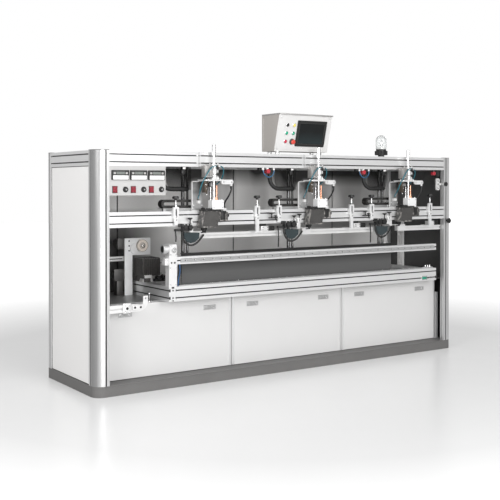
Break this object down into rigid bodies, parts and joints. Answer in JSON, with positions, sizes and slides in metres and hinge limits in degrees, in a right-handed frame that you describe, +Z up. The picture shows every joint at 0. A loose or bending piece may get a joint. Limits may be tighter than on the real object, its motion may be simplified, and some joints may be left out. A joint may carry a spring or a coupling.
{
  "type": "mug screen printing machine",
  "caption": "Mug screen printing machine: profile frame on a plinth, printing heads with air cylinders over guide rails, sliding screen bars, control console and signal lamp.",
  "frame": {"origin": "centre of the plinth's underside, on the floor", "axes": "+X to the right along the front, +Y from the front to the back, +Z up"},
  "size_m": [3.88, 1.0487, 2.258],
  "materials": {
    "profile": "anodised satin",
    "plinth_grey": "semi-matt paint",
    "cap_grey": "matt moulded plastic",
    "panel_white": "fine powder coat",
    "back_grey": "smooth grey paint",
    "deck_grey": "brushed sheet",
    "apron_grey": "smooth semi-gloss paint",
    "bright_steel": "ground",
    "chrome": "polished",
    "black_plastic": "moulded",
    "button_mix": "moulded, yellow, green, black and red",
    "stop_red": "moulded red",
    "switch_red": "translucent dark red rocker",
    "dome_clear": "clear moulded dome",
    "smoked": "smoked sheet",
    "bracket_white": "satin light grey",
    "duct_white": "moulded",
    "motor_dark": "satin black paint",
    "air_tube": "teal tube, black below the link bars",
    "wheel_beige": "machined plastic",
    "squeegee_grey": "dark grey paint, white block above"
  },
  "bodies": {
    "frame": {"base_plinth": "plinth_grey", "front_posts": "profile", "back_posts": "profile", "post_caps": "cap_grey", "long_rails": "profile", "side_rails": "profile", "middle_beam": "profile", "side_panels": "panel_white", "back_panels": "back_grey", "back_studs": "profile", "roof_panel": "panel_white", "cabinet_deck": "deck_grey", "cabinet_uprights": "profile", "door_left": "panel_white", "door_middle": "panel_white", "door_right": "panel_white", "door_trims": "profile", "door_latches": "bright_steel", "lower_rail": "profile", "upper_rail": "profile", "guide_strips": "bright_steel", "cross_beams": "profile", "apron_panel": "apron_grey", "console_feet": "profile", "console_housing": "panel_white", "touch_screen": "black_plastic", "push_buttons": "button_mix", "emergency_stop": "stop_red", "heater_panel": "panel_white", "heater_controllers": "black_plastic", "heater_switches": "switch_red", "heater_knobs": "black_plastic", "beacon_base": "black_plastic", "beacon_dome": "dome_clear", "head_brackets": "bracket_white", "air_cylinders": "bright_steel", "air_tubes": "air_tube", "stand_rods": "chrome", "smoked_guards": "smoked", "chain_trays": "bright_steel", "drag_chains": "black_plastic", "feed_plate": "bright_steel", "feed_motor": "motor_dark", "end_bracket": "bracket_white", "loading_chuck": "chrome", "side_stub": "bracket_white", "wiring_duct": "duct_white"},
    "head_1": {"lift_rod_1": "chrome", "squeegee_1": "squeegee_grey"},
    "screen_1": {"screen_bar_1": "bracket_white", "screen_clamps_1": "bracket_white"},
    "head_2": {"lift_rod_2": "chrome", "squeegee_2": "squeegee_grey"},
    "screen_2": {"screen_bar_2": "bracket_white", "screen_clamps_2": "bracket_white"},
    "head_3": {"lift_rod_3": "chrome", "squeegee_3": "squeegee_grey"},
    "screen_3": {"screen_bar_3": "bracket_white", "screen_clamps_3": "bracket_white"},
    "wheel": {"feed_wheel": "wheel_beige"}
  },
  "joints": [
    {"name": "head_lift_1", "type": "slide", "parent": "frame", "child": "head_1", "axis": [0, 0, 1], "range_m": [-0.03, 0.03]},
    {"name": "screen_slide_1", "type": "slide", "parent": "frame", "child": "screen_1", "axis": [1, 0, 0], "range_m": [-0.06, 0.03]},
    {"name": "head_lift_2", "type": "slide", "parent": "frame", "child": "head_2", "axis": [0, 0, 1], "range_m": [-0.03, 0.03]},
    {"name": "screen_slide_2", "type": "slide", "parent": "frame", "child": "screen_2", "axis": [1, 0, 0], "range_m": [-0.06, 0.03]},
    {"name": "head_lift_3", "type": "slide", "parent": "frame", "child": "head_3", "axis": [0, 0, 1], "range_m": [-0.03, 0.03]},
    {"name": "screen_slide_3", "type": "slide", "parent": "frame", "child": "screen_3", "axis": [1, 0, 0], "range_m": [-0.06, 0.03]},
    {"name": "wheel_spin", "type": "hinge", "parent": "frame", "child": "wheel", "pos_m": [-1.236, 0.134, 1.112], "axis": [0, -1, 0], "continuous": true}
  ]
}
